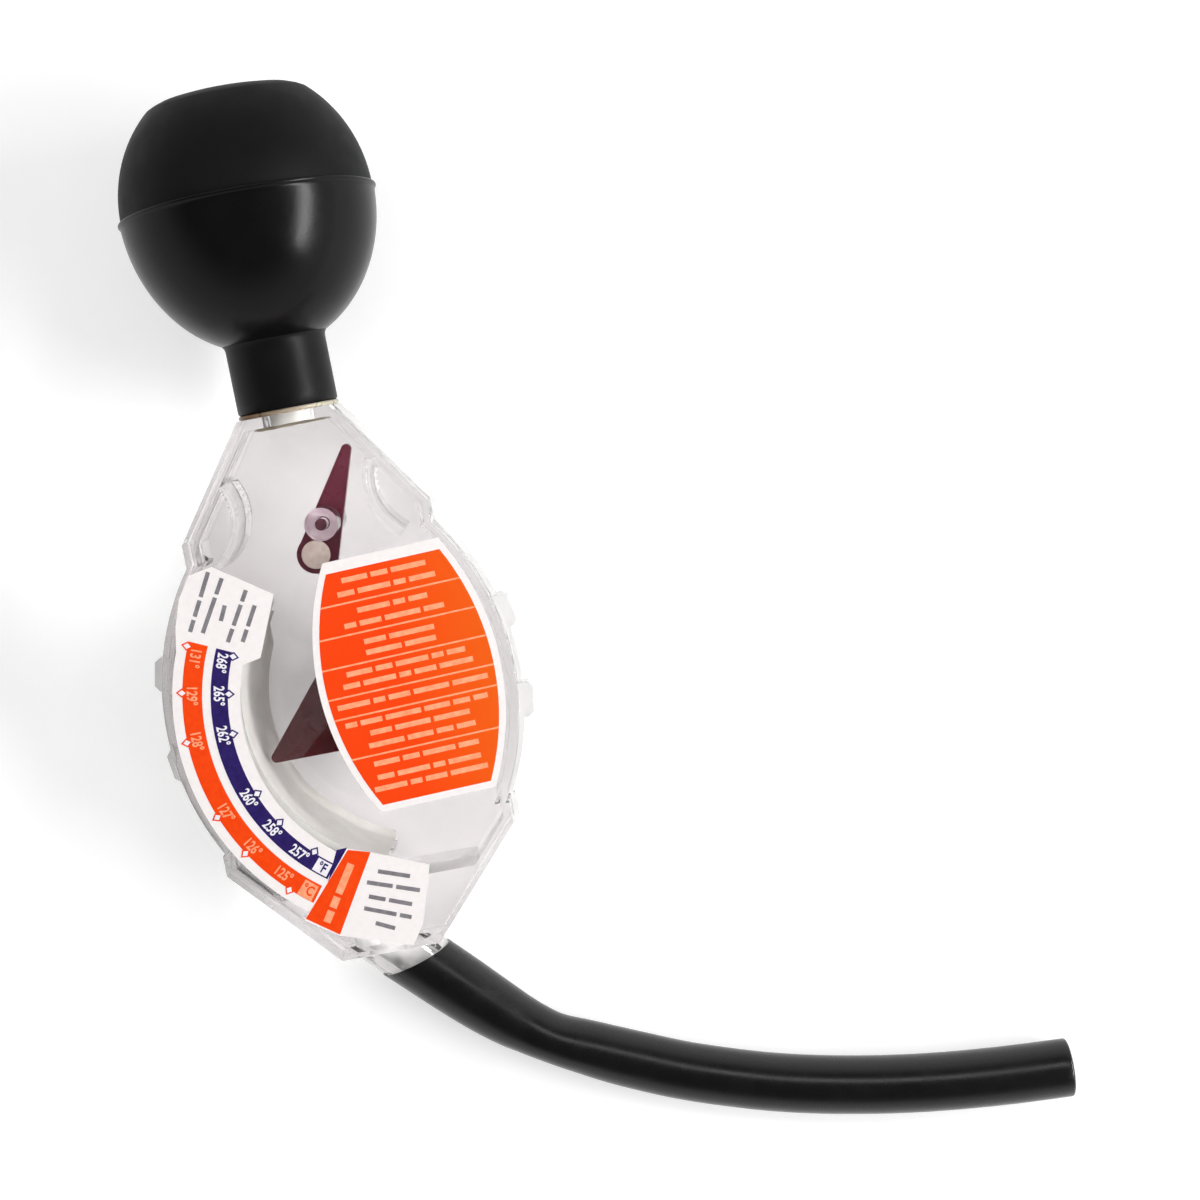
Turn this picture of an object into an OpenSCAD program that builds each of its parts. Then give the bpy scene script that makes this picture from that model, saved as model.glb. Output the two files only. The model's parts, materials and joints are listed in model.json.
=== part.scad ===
// Antifreeze tester: a clear two-part casing with a rubber bulb at one end and a hose at the other.
// A small level pointer and a large float pointer turn on pins inside the casing.
// Each piece is drawn in the tester's own frame: the axis runs along Y with the bulb towards +Y,
// the casing's bulb end is at Y = 0, the front face looks along +Z, and a "drop" is a distance
// down the casing from its bulb end. The last step lays the tester on its back on a table.

/* [Casing] */
// Length of the casing from the bulb end to the hose end
case_len = 110; // [106:1:118]
// Thickness of the casing from front to back
case_t = 24; // [22:0.5:28]
// Greatest half width of the casing, at the weld flange
case_half_w = 36.1; // [35:0.1:37.5]
// Radius of the two bowed sides
side_r = 55; // [53:1:60]
// Drop of the widest place
side_drop = 58.5; // [56:0.5:61]
// Half width at the bulb end
neck_half_w = 10.4; // [9.8:0.2:12]
// Half width of the upper corners
shoulder_half_w = 25.6; // [24.6:0.2:27]
// Drop of the upper corners
shoulder_drop = 21.6; // [20:0.2:24]
// Length of the straight edge below each upper corner
shoulder_edge = 5; // [4:0.5:7]
// Half width of the lower corners
foot_half_w = 30.2; // [29:0.2:31.6]
// Height of the lower corners above the hose end
foot_rise = 21; // [19:0.5:24]
// Length of the straight edge above each lower corner
foot_edge = 4.5; // [3:0.5:6]
// Half width at the hose end
end_half_w = 11.3; // [10.8:0.1:13]
// Thickness of the moulded walls
wall = 2; // [1.6:0.1:2.4]
// How far the weld flange stands out from the walls
flange_w = 1; // [0.6:0.1:1.4]
// Thickness of the weld flange on each cover
flange_t = 1.5; // [1:0.1:2.5]
// How far the back slopes in at the bulb end
back_rise_top = 2; // [1:0.25:3]
// How far the back slopes in at the hose end
back_rise_end = 3.5; // [3:0.25:4]
// Thickness of the end wall under the bulb
top_wall = 2.2; // [2:0.1:3.6]
// Length of the solid block that holds the hose
end_block = 14; // [12:0.5:16]

/* [Locating lugs] */
// Length of a lug along the casing's side
lug_len = 7; // [5:0.5:9]
// How far a lug stands out from the flange
lug_out = 1.9; // [1.4:0.1:3]
// Width of the bevel on a lug's corners
lug_bevel = 1.1; // [0.4:0.1:1.3]
// Thickness of a lug on each cover
lug_t = 3.2; // [2.5:0.1:4]
// Drop of the upper lugs
lug_drop_upper = 47.2; // [45:0.2:50]
// Drop of the lower lugs
lug_drop_lower = 65.9; // [63:0.1:68]

/* [Rubber bulb] */
// Radius of the lower half at the parting line
bulb_r = 25.5; // [24:0.25:28]
// How far the upper half lies inside the lower half
bulb_step = 0.3; // [0.1:0.05:0.5]
// Height of the parting line above the casing
bulb_mid = 41.9; // [40:0.1:45]
// Half height of the lower half's oval
bulb_low = 29.5; // [28:0.5:31]
// Half height of the upper half's oval
bulb_up = 27; // [25:0.5:29]
// Height of the bulb's top above the casing
bulb_h = 64.7; // [63:0.1:67]
// How far the parting ridge stands out
ridge_out = 0.4; // [0.2:0.05:0.8]
// Height of the parting ridge
ridge_h = 1; // [0.6:0.1:1.6]
// Outside radius of the bulb's neck
bulb_neck_r = 10.1; // [9.8:0.1:11]
// Thickness of the rubber
bulb_wall = 2.2; // [1.8:0.1:3]

/* [Bulb spigot] */
// Outside radius of the spigot that carries the bulb
spigot_r = 7.8; // [7:0.1:8.2]
// Radius of the bore through the spigot
spigot_bore_r = 5.2; // [4:0.1:5.6]
// Length of the spigot
spigot_len = 12; // [10:0.5:13]
// Thickness of the cement bead under the bulb's neck
cement_t = 0.9; // [0.6:0.1:1.6]
// How far the cement bead stands out from the neck
cement_out = 0.1; // [0.1:0.1:0.6]
// Clearance between the rubber neck and the spigot
neck_gap = 0.1; // [0.05:0.05:0.2]

/* [Hose and its nipple] */
// Outside radius of the hose
hose_r = 6; // [5.6:0.1:6.3]
// Radius of the hose's bore
hose_bore_r = 4; // [3.6:0.1:4.4]
// Angle between the hose's nipple and the casing's axis
outlet_angle = 45; // [43:0.5:47]
// Angle between the slanted seat of the hose and a square cut across the casing
seat_angle = 16; // [12:1:20]
// Distance of the seat's middle from the axis
outlet_x = 4; // [3.4:0.1:4.6]
// How far the seat's middle lies past the casing's end
outlet_out = 5.3; // [5:0.1:6]
// Radius of the boss that ends in the seat
outlet_boss_r = 6.4; // [6.2:0.1:7]
// Length of the nipple inside the hose
nipple_len = 19; // [15:0.5:20]
// Thickness of the nipple's wall
nipple_wall = 1.2; // [1:0.1:1.6]
// Distance back along the nipple to the bend in its bore
bore_bend = 12; // [11:0.5:13]
// Clearance of the hose on its nipple and at its seat
hose_gap = 0.15; // [0.1:0.05:0.25]

/* [Float pointer] */
// Distance of the dial's centre from the axis
dial_x = 15; // [14:0.2:16]
// Drop of the dial's centre
dial_drop = 58.9; // [57:0.1:60]
// Distance from the dial's centre to the pointer's tip
float_tip = 34; // [33:0.1:34.4]
// Radius of the rounded tip
float_tip_r = 1.1; // [0.8:0.1:1.4]
// Angle of the pointer below the crosswise line, as it lies
float_angle = 16.5; // [5:0.5:30]
// Angle of the tip's upper edge
tip_angle_upper = 34; // [26:1:36]
// Angle of the tip's lower edge
tip_angle_lower = 17; // [13:1:19]
// Distance from the dial's centre to the upper corner, along the pointer
float_corner = 13; // [11:0.5:15]
// Length of the tail behind the dial's centre
float_tail = 12.5; // [12:0.1:13.5]
// Thickness of the blade
float_t = 3.2; // [2.6:0.2:4]
// Radius of the hub
float_hub_r = 4.6; // [4:0.1:4.8]
// Length of the hub
float_hub_len = 8; // [6:0.5:10]
// Radius of the brass slug in the tail
slug_r = 2.4; // [2:0.1:2.5]
// How far the slug stands out of the blade on each side
slug_out = 0.4; // [0.2:0.1:0.8]
// Radius of the pin
float_pin_r = 1.5; // [1.2:0.1:1.8]
// Radius of the boss that holds the pin
float_boss_r = 4.4; // [3.6:0.1:4.8]

/* [Level pointer] */
// Distance of the level pointer's pin from the axis
level_x = 3; // [2:0.1:3.6]
// Drop of the level pointer's pin
level_drop = 22.9; // [22.5:0.1:24.5]
// Lean of the pointer from the axis, as it lies
level_lean = 27; // [20:1:33]
// Distance from the pin to the tip
level_tip = 16.2; // [13:0.2:16.8]
// Radius of the rounded tip
level_tip_r = 1; // [0.7:0.1:1.2]
// Distance from the pin to the middle of the ring
level_ring_at = 7; // [6.6:0.1:7.4]
// Outside radius of the ring
level_ring_r = 3.9; // [3.7:0.1:4.5]
// Half width of the pointer's straight side beside the weight
level_heel = 4.6; // [4:0.1:5]
// Radius of the weight in the ring
level_weight_r = 2.9; // [2.2:0.1:3]
// How far the weight stands out of the blade on each side
level_weight_out = 0.3; // [0.2:0.1:0.6]
// Thickness of the blade
level_t = 2.4; // [2:0.2:3]
// Radius of the hub
level_hub_r = 2.8; // [2.4:0.1:3]
// Length of the hub
level_hub_len = 6; // [5:0.5:8]
// Radius of the pin
level_pin_r = 1.2; // [1:0.1:1.4]
// Radius of the boss that holds the pin
level_boss_r = 3.3; // [2.8:0.1:3.5]

/* [Fits] */
// Radial clearance of a pointer on its pin
turning_gap = 0.08; // [0.05:0.01:0.1]
// Radial clearance of a pin or weight that stays in its hole
seat_gap = 0.03; // [0.02:0.01:0.06]
// Gap between a hub and the boss beside it
hub_gap = 0.3; // [0.2:0.05:0.5]

/* [Inner walls] */
// Thickness of the inner walls
rib_t = 1.6; // [1.2:0.1:2]
// Gap between the float pointer's tip and the wall around the dial
dial_wall_gap = 0.9; // [0.7:0.1:1.2]
// First angle of the dial wall, from the crosswise line
dial_wall_from = 144; // [142:1:148]
// Last angle of the dial wall
dial_wall_to = 250; // [245:1:255]
// Distance of each throat wall's centre from the axis
throat_x = 25.4; // [25:0.1:26.4]
// Drop of each throat wall's centre
throat_drop = 17.5; // [17:0.1:19]
// Outside radius of each throat wall
throat_r = 12.8; // [12:0.1:13]
// First angle of a throat wall
throat_from = 152; // [150:1:156]
// Last angle of a throat wall
throat_to = 235; // [228:1:238]

/* [Labels] */
// Thickness of a label
label_t = 0.2; // [0.1:0.05:0.3]
// Least distance of a label from the edge of the flat face
label_edge = 0.5; // [0.3:0.1:1]
// Middle of the instruction label from the axis
note_x = 14.5; // [14:0.1:15]
// Drop of the instruction label's middle
note_drop = 55.6; // [54:0.2:57]
// Turn of the instruction label, as it was stuck on
note_turn = 2; // [0:0.5:4]
// Half width of the instruction label at its middle
note_half_w = 18.3; // [17:0.1:18.5]
// Half width of the instruction label at its ends
note_end_half_w = 11.7; // [10:0.1:13]
// Half height of the instruction label
note_half_h = 25.6; // [24:0.1:26.5]
// How far the scale's centre lies below the dial's centre
scale_shift = 1.4; // [0.8:0.1:2]
// Inner radius of the scale labels
scale_in_r = 35; // [34.5:0.1:36]
// Outer radius of the scale labels
scale_out_r = 48.4; // [47:0.1:48.6]
// Angle at the top of the front scale, above the crosswise line
scale_above = 22; // [20:1:24]
// Angle at the end of the front scale, below the crosswise line
scale_below = 54; // [52:1:55]
// Angle at the top of the rear scale label
rear_scale_above = 40; // [36:1:42]
// Angle at the end of the rear scale label
rear_scale_below = 30; // [25:1:31]
// Corners of the block above the front scale, from the scale's centre
scale_head = [
    [-39.4, 32.4], [-34.7, 33.3], [-23.7, 25.7], [-28.8, 13.7], [-32.9, 12.9],
    [-45, 17.8], [-44, 23], [-42.2, 28.2],
];
// Corners of the block below the front scale, from the scale's centre
scale_foot = [
    [-20.2, -27], [-15, -28.8], [-3.9, -33.5], [-7.5, -45.1], [-10.2, -49.1], [-24.4, -44.4], [-30.7, -40],
];

/* [Hidden] */
$fn = 64;

// Place of the casing's bulb end on the table, which centres the tester without its hose
case_end_y = 32.4;
half_t = case_t / 2;
inner_t = half_t - wall;
foot_drop = case_len - foot_rise;
ridge_r = bulb_r + ridge_out;
// The tester rests on the bulb's ridge and on the edge where its back starts to slope to the hose
tilt = atan((ridge_r - half_t) / (bulb_mid + foot_drop));
lift = foot_drop * sin(tilt) + half_t * cos(tilt);
// A width and depth that reach past the whole tester, for cutting it
past_w = 2 * (case_half_w + lug_out + lug_len);
past_len = 2 * (case_len + bulb_h + nipple_len);

shoulder_run = shoulder_half_w - neck_half_w;
foot_run = foot_half_w - end_half_w;
// Sideways shift of a slanted edge for each millimetre that the outline is drawn in
shoulder_shift = norm([shoulder_run, shoulder_drop]) / shoulder_drop;
foot_shift = norm([foot_run, foot_rise]) / foot_rise;

nipple_r = hose_bore_r - hose_gap;
nipple_bore_r = nipple_r - nipple_wall;
// The bore from the chamber down to the nipple is a little wider than the nipple's own
rise_r = nipple_r - nipple_wall / 2;
outlet_seat = [outlet_x, -case_len - outlet_out, 0];
outlet_way = [sin(outlet_angle), -cos(outlet_angle), 0];
seat_way = [sin(seat_angle), -cos(seat_angle), 0];
bore_elbow = outlet_seat - bore_bend * outlet_way;

dial_wall_r = float_tip + dial_wall_gap;
// Flat faces that make up the float pointer's rounded tip
tip_faces = 8;
slug_at = -(float_hub_r + slug_r + (float_tail - float_hub_r - 2 * slug_r) / 3);
note_bow = note_half_w - note_end_half_w;
note_r = (note_half_h * note_half_h + note_bow * note_bow) / (2 * note_bow);

// Half width of the casing's bowed side at a drop
function side_x(drop) = case_half_w - side_r + sqrt(side_r * side_r - pow(drop - side_drop, 2));

// Place on the table of a point in the tester's own frame
function laid(p) = [
    p[0],
    case_end_y + p[1] * cos(tilt) - p[2] * sin(tilt),
    lift + p[1] * sin(tilt) + p[2] * cos(tilt),
];

// Direction on the table of a direction in the tester's own frame
function turned(way) = laid(way) - laid([0, 0, 0]);

// The hose runs straight over its nipple, then bends and lies on the table
hose_seat = outlet_seat + hose_gap * seat_way;
hose_route = concat(
    [for (along = [0, 10, 20]) laid(hose_seat + along * outlet_way)],
    [
        [21.9, -99.9, 7.3], [26, -103, 7], [30.5, -105.7, 6.7], [35.9, -108.2, 6.5],
        [43.8, -111.7, 6.2], [53, -115.6, 6.1], [62.4, -118.9, 6.1], [72, -121.8, 6.1],
        [81.7, -124.1, 6.1], [91.6, -126, 6.1], [101.5, -127.5, 6.1], [111.4, -128.6, 6.1],
        [121.4, -129.4, 6.1], [132.5, -130, 6.1],
    ]
);
hose_sides = 12;

// Lays the tester on its back on the table
module lay_down() {
    translate([0, case_end_y, lift]) rotate([tilt, 0, 0]) children();
}

// Keeps the front half (side 1) or the back half (side -1) of its children
module half(side) {
    intersection() {
        children();
        translate([-past_w / 2, -past_len / 2, side > 0 ? 0 : -case_t])
            cube([past_w, past_len, case_t]);
    }
}

// A strip of the plane between two drops, with a half width
module strip(half_w, from, to) {
    translate([-half_w, -to]) square([2 * half_w, to - from]);
}

// The casing's front outline, drawn in by an inset
module outline(inset) {
    reach = past_w / 2;
    intersection() {
        union() {
            intersection() {
                translate([case_half_w - side_r, -side_drop]) circle(side_r - inset, $fn = 180);
                translate([side_r - case_half_w, -side_drop]) circle(side_r - inset, $fn = 180);
                strip(reach, shoulder_drop, foot_drop);
            }
            strip(shoulder_half_w - inset, 0, shoulder_drop + shoulder_edge);
            strip(foot_half_w - inset, foot_drop - foot_edge, case_len);
        }
        slanted_sides(neck_half_w - shoulder_shift * inset, shoulder_run / shoulder_drop, reach);
        translate([0, -case_len]) mirror([0, 1])
            slanted_sides(end_half_w - foot_shift * inset, foot_run / foot_rise, reach);
    }
}

// The area under two slanted edges that start at a half width and open downwards
module slanted_sides(half_w, slope, reach) {
    corner = (reach - half_w) / slope;
    polygon([
        [-half_w, 0], [half_w, 0], [reach, -corner],
        [reach, -past_len], [-reach, -past_len], [-reach, -corner],
    ]);
}

// The casing as one block, drawn in by an inset on every face but its ends
module casing_block(inset) {
    front = half_t - inset;
    intersection() {
        translate([0, 0, -half_t]) linear_extrude(case_t) outline(flange_w + inset);
        rotate([90, 0, 90]) linear_extrude(past_w, center = true) polygon([
            [0, front], [-case_len, front], [-case_len, back_rise_end - front],
            [-foot_drop, -front], [-shoulder_drop, -front], [0, back_rise_top - front],
        ]);
    }
}

module chamber() {
    intersection() {
        casing_block(wall);
        translate([-past_w / 2, end_block - case_len, -half_t])
            cube([past_w, case_len - end_block - top_wall, case_t]);
    }
}

// A cylinder along the tester's axis from one height above the bulb end to another
module along_axis(r, from, to) {
    translate([0, from, 0]) rotate([-90, 0, 0]) cylinder(h = to - from, r = r);
}

// A cylinder along the hose's nipple, measured from the seat's middle
module along_outlet(r, from, to) {
    translate(outlet_seat) rotate([0, 0, outlet_angle]) rotate([90, 0, 0])
        translate([0, 0, from]) cylinder(h = to - from, r = r);
}

// The boss under the hose, cut off along the slanted seat
module outlet_boss() {
    intersection() {
        along_outlet(outlet_boss_r, -bore_bend - outlet_boss_r / 2, 2 * outlet_boss_r);
        translate(outlet_seat) rotate([0, 0, seat_angle])
            translate([-past_w / 2, 0, -half_t]) cube([past_w, past_len / 2, case_t]);
    }
}

// A wall on an arc that stands between the front and back faces
module arc_wall(r_out, from, to) {
    rotate([0, 0, from]) rotate_extrude(angle = to - from, $fn = 120)
        translate([r_out - rib_t, -inner_t - wall / 2]) square([rib_t, 2 * inner_t + wall]);
}

// The locating lugs, two on each bowed side and square to it
module lugs() {
    root = flange_w + wall / 2;
    half_len = lug_len / 2;
    for (drop = [lug_drop_upper, lug_drop_lower], side = [0, 1])
        mirror([side, 0, 0]) translate([side_x(drop), -drop, -lug_t])
            rotate([0, 0, asin((side_drop - drop) / side_r)]) linear_extrude(2 * lug_t) polygon([
                [-root, -half_len], [lug_out - lug_bevel, -half_len],
                [lug_out, -half_len + lug_bevel], [lug_out, half_len - lug_bevel],
                [lug_out - lug_bevel, half_len], [-root, half_len],
            ]);
}

// A boss on the front and back walls, open at the middle for a hub
module pin_bosses(x, drop, boss_r, pin_r, hub_len) {
    for (side = [0, 1])
        translate([x, -drop, 0]) mirror([0, 0, side]) difference() {
            translate([0, 0, hub_len / 2 + hub_gap])
                cylinder(h = half_t - wall / 2 - hub_len / 2 - hub_gap, r = boss_r);
            cylinder(h = inner_t, r = pin_r + seat_gap);
        }
}

// Both covers together, before they are parted at the weld
module casing() {
    difference() {
        union() {
            difference() {
                union() {
                    casing_block(0);
                    translate([0, 0, -flange_t]) linear_extrude(2 * flange_t) outline(0);
                    lugs();
                }
                chamber();
            }
            intersection() {
                casing_block(0);
                union() {
                    translate([dial_x, -dial_drop, 0])
                        arc_wall(dial_wall_r + rib_t, dial_wall_from, dial_wall_to);
                    for (side = [0, 1])
                        mirror([side, 0, 0]) translate([throat_x, -throat_drop, 0])
                            arc_wall(throat_r, throat_from, throat_to);
                }
            }
            pin_bosses(dial_x, dial_drop, float_boss_r, float_pin_r, float_hub_len);
            pin_bosses(level_x, level_drop, level_boss_r, level_pin_r, level_hub_len);
            along_axis(spigot_r, -top_wall, spigot_len);
            outlet_boss();
            along_outlet(nipple_r, -bore_bend, nipple_len);
        }
        along_axis(spigot_bore_r, -top_wall - wall, spigot_len + wall);
        along_outlet(nipple_bore_r, -bore_bend, nipple_len + wall);
        translate(bore_elbow) along_axis(rise_r, -nipple_bore_r, end_block);
    }
}

module front_cover() {
    color([0.88, 0.9, 0.92, 0.35]) lay_down() half(1) casing();
}

module rear_cover() {
    color([0.88, 0.9, 0.92, 0.35]) lay_down() difference() {
        half(-1) casing();
        translate([0, 0, -case_t]) rear_scale(half_t + label_t, seat_gap);
    }
}

// Radius of an oval at a height above its middle
function oval_r(r, half_h, height) = r * sqrt(1 - pow(height / half_h, 2));
// Height above its middle at which an oval has a radius
function oval_height(r, half_h, at_r) = half_h * sqrt(1 - pow(at_r / r, 2));

// Outline of half a bulb skin, from the neck to the crown, drawn in by the rubber's thickness
function skin(inset, neck_r) =
    let (
        low_r = bulb_r - inset,
        up_r = bulb_r - bulb_step - inset,
        top = bulb_h - inset,
        low_from = -oval_height(low_r, bulb_low - inset, neck_r),
        crown_edge = top - bulb_mid - 2,
        crown_r = oval_r(up_r, bulb_up - inset, crown_edge),
        steps = 12
    )
    concat(
        [for (i = [0 : steps])
            let (height = low_from * cos(90 * i / steps))
            [oval_r(low_r, bulb_low - inset, height), bulb_mid + height]],
        [for (i = [0 : steps])
            let (height = crown_edge * sin(90 * i / steps))
            [oval_r(up_r, bulb_up - inset, height), bulb_mid + height]],
        [[0.85 * crown_r, top - 0.9], [0.65 * crown_r, top - 0.3], [0, top]]
    );

module squeeze_bulb() {
    bore_r = spigot_r + neck_gap;
    outside = concat([[bore_r, cement_t], [bulb_neck_r, cement_t]], skin(0, bulb_neck_r));
    inside = skin(bulb_wall, bore_r);
    color([0.13, 0.13, 0.14]) lay_down() rotate([-90, 0, 0]) union() {
        rotate_extrude($fn = 128) polygon(concat(
            outside, [for (i = [len(inside) - 1 : -1 : 0]) inside[i]]
        ));
        rotate_extrude($fn = 128) translate([bulb_r - bulb_wall / 2, bulb_mid - ridge_h])
            square([bulb_wall / 2 + ridge_out, ridge_h]);
    }
}

module bulb_cement() {
    color([0.85, 0.68, 0.3]) lay_down() rotate([-90, 0, 0]) difference() {
        cylinder(h = cement_t, r = bulb_neck_r + cement_out);
        translate([0, 0, -cement_t]) cylinder(h = 3 * cement_t, r = spigot_r + seat_gap);
    }
}

// One ring of a tube at a point of its route: square to the route, and at its start along the seat
function tube_ring(route, i, r, seat) =
    let (
        last = len(route) - 1,
        way = route[min(i + 1, last)] - route[max(i - 1, 0)],
        along = way / norm(way),
        side = cross(along, [0, 0, 1]) / norm(cross(along, [0, 0, 1])),
        up = cross(side, along),
        face = i == 0 ? seat : along
    )
    [for (k = [0 : hose_sides - 1])
        let (
            turn = 360 * (k + 0.5) / hose_sides,
            spoke = r * (cos(turn) * side + sin(turn) * up)
        )
        route[i] + spoke - along * (spoke * face) / (along * face)];

// A tube with a bore, swept along a route from a seat that faces along a direction
module hollow_tube(route, r, bore_r, seat) {
    rings = len(route);
    n = hose_sides;
    outer = [for (i = [0 : rings - 1]) each tube_ring(route, i, r, seat)];
    inner = [for (i = [0 : rings - 1]) each tube_ring(route, i, bore_r / cos(180 / n), seat)];
    first_inner = rings * n;
    last = (rings - 1) * n;
    polyhedron(concat(outer, inner), [
        for (i = [0 : rings - 2], k = [0 : n - 1])
            let (a = i * n + k, b = i * n + (k + 1) % n, p = first_inner)
            each [
                [a, b + n, b], [a, a + n, b + n],
                [p + a, p + b, p + b + n], [p + a, p + b + n, p + a + n],
            ],
        for (k = [0 : n - 1])
            let (b = (k + 1) % n, p = first_inner)
            each [
                [k, b, p + b], [k, p + b, p + k],
                [last + k, p + last + b, last + b], [last + k, p + last + k, p + last + b],
            ],
    ]);
}

module suction_hose() {
    color([0.1, 0.1, 0.1]) hollow_tube(hose_route, hose_r, hose_bore_r, turned(seat_way));
}

// Puts a pointer on its pin: along +X in its own frame, with the front face up
module at_dial() {
    lay_down() translate([dial_x, -dial_drop, 0]) rotate([0, 0, 180 + float_angle]) children();
}

module at_level() {
    lay_down() translate([level_x, -level_drop, 0]) rotate([0, 0, 90 - level_lean]) children();
}

module float_pointer() {
    tip_mid = float_tip - float_tip_r;
    upper = float_tip_r / cos(tip_angle_upper) + (tip_mid - float_corner) * tan(tip_angle_upper);
    lower = float_tip_r / cos(tip_angle_lower) + tip_mid * tan(tip_angle_lower);
    tip_turn = (180 - tip_angle_upper - tip_angle_lower) / tip_faces;
    tip = [for (i = [0 : tip_faces]) let (turn = 90 - tip_angle_lower - i * tip_turn)
        [tip_mid + float_tip_r * cos(turn), float_tip_r * sin(turn)]];
    tail_half_w = slug_r + 3;
    color([0.36, 0.1, 0.17]) at_dial() difference() {
        union() {
            translate([0, 0, -float_t / 2]) linear_extrude(float_t) polygon(concat(tip, [
                [float_corner, -upper], [0, -upper],
                [-float_tail + 3, -tail_half_w - 2], [-float_tail, -tail_half_w + 3],
                [-float_tail, tail_half_w - 3], [-float_tail + 3, tail_half_w], [0, lower],
            ]));
            cylinder(h = float_hub_len, r = float_hub_r, center = true);
        }
        cylinder(h = 2 * float_hub_len, r = float_pin_r + turning_gap, center = true);
        translate([slug_at, 0, 0]) cylinder(h = 2 * float_t, r = slug_r + seat_gap, center = true);
    }
}

module float_slug() {
    color([0.72, 0.58, 0.3]) at_dial() translate([slug_at, 0, 0])
        cylinder(h = float_t + 2 * slug_out, r = slug_r, center = true);
}

module float_pin() {
    color([0.7, 0.7, 0.72]) at_dial() cylinder(h = 2 * inner_t, r = float_pin_r, center = true);
}

module level_pointer() {
    tip_from = level_tip - level_tip_r;
    ring_half_w = 0.98 * level_ring_r;
    color([0.34, 0.1, 0.16]) at_level() difference() {
        union() {
            translate([0, 0, -level_t / 2]) linear_extrude(level_t) {
                polygon([
                    [tip_from, -level_tip_r], [tip_from, level_tip_r],
                    [-level_ring_at, ring_half_w], [-level_ring_at, -level_heel],
                ]);
                translate([tip_from, 0]) circle(level_tip_r);
                translate([-level_ring_at, 0]) circle(level_ring_r);
            }
            cylinder(h = level_hub_len, r = level_hub_r, center = true);
        }
        cylinder(h = 2 * level_hub_len, r = level_pin_r + turning_gap, center = true);
        translate([-level_ring_at, 0, 0])
            cylinder(h = 2 * level_t, r = level_weight_r + seat_gap, center = true);
    }
}

module level_weight() {
    color([0.78, 0.7, 0.64]) at_level() translate([-level_ring_at, 0, 0])
        cylinder(h = level_t + 2 * level_weight_out, r = level_weight_r, center = true);
}

module level_pin() {
    color([0.7, 0.7, 0.72]) at_level() cylinder(h = 2 * inner_t, r = level_pin_r, center = true);
}

// Keeps a label on the front face, clear of the face's edge
module on_face() {
    lay_down() intersection() {
        translate([0, 0, half_t]) children();
        linear_extrude(case_t) outline(flange_w + label_edge);
    }
}

module instruction_label() {
    centre = note_r - note_half_w;
    color([0.98, 0.3, 0.02]) on_face() translate([note_x, -note_drop, 0]) rotate([0, 0, note_turn])
        linear_extrude(label_t) intersection() {
            translate([centre, 0]) circle(note_r, $fn = 180);
            translate([-centre, 0]) circle(note_r, $fn = 180);
            square([2 * note_half_w, 2 * note_half_h], center = true);
        }
}

// Puts a shape of the scale labels about the scale's centre
module at_scale() {
    translate([dial_x, -dial_drop - scale_shift, 0]) children();
}

// A ring sector between two angles below the crosswise line
module sector(r_in, r_out, from, to) {
    far = 2 * r_out;
    middle = (from + to) / 2;
    rotate(180) intersection() {
        difference() {
            circle(r_out, $fn = 180);
            circle(r_in, $fn = 180);
        }
        polygon([
            [0, 0], far * [cos(from), sin(from)],
            far * [cos(middle), sin(middle)], far * [cos(to), sin(to)],
        ]);
    }
}

module front_scale_label() {
    color([0.96, 0.95, 0.9]) on_face() at_scale() union() {
        linear_extrude(label_t) sector(scale_in_r, scale_out_r, -scale_above, scale_below);
        linear_extrude(label_t) polygon(scale_head);
        linear_extrude(label_t) polygon(scale_foot);
    }
}

// The rear scale label's shape, larger by a gap for the recess that holds it
module rear_scale(thickness, gap) {
    turn = gap / scale_out_r * 180 / PI;
    at_scale() linear_extrude(thickness) sector(
        scale_in_r - gap, scale_out_r + gap, -rear_scale_above - turn, rear_scale_below + turn
    );
}

module rear_scale_label() {
    color([0.96, 0.95, 0.9]) lay_down() translate([0, 0, -half_t]) rear_scale(label_t, 0);
}

front_cover();
rear_cover();
squeeze_bulb();
bulb_cement();
suction_hose();
float_pointer();
float_slug();
float_pin();
level_pointer();
level_weight();
level_pin();
instruction_label();
front_scale_label();
rear_scale_label();
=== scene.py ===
"""Looks of an antifreeze tester that lies on its back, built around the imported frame.

Blender's lengths are metres. The tester's own frame is in millimetres: x across, y along the axis
with the bulb at +y and the casing's bulb end at 0, z out of the front face.
"""

import json
import math

import bmesh
import bpy
from mathutils import Matrix, Vector


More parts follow.
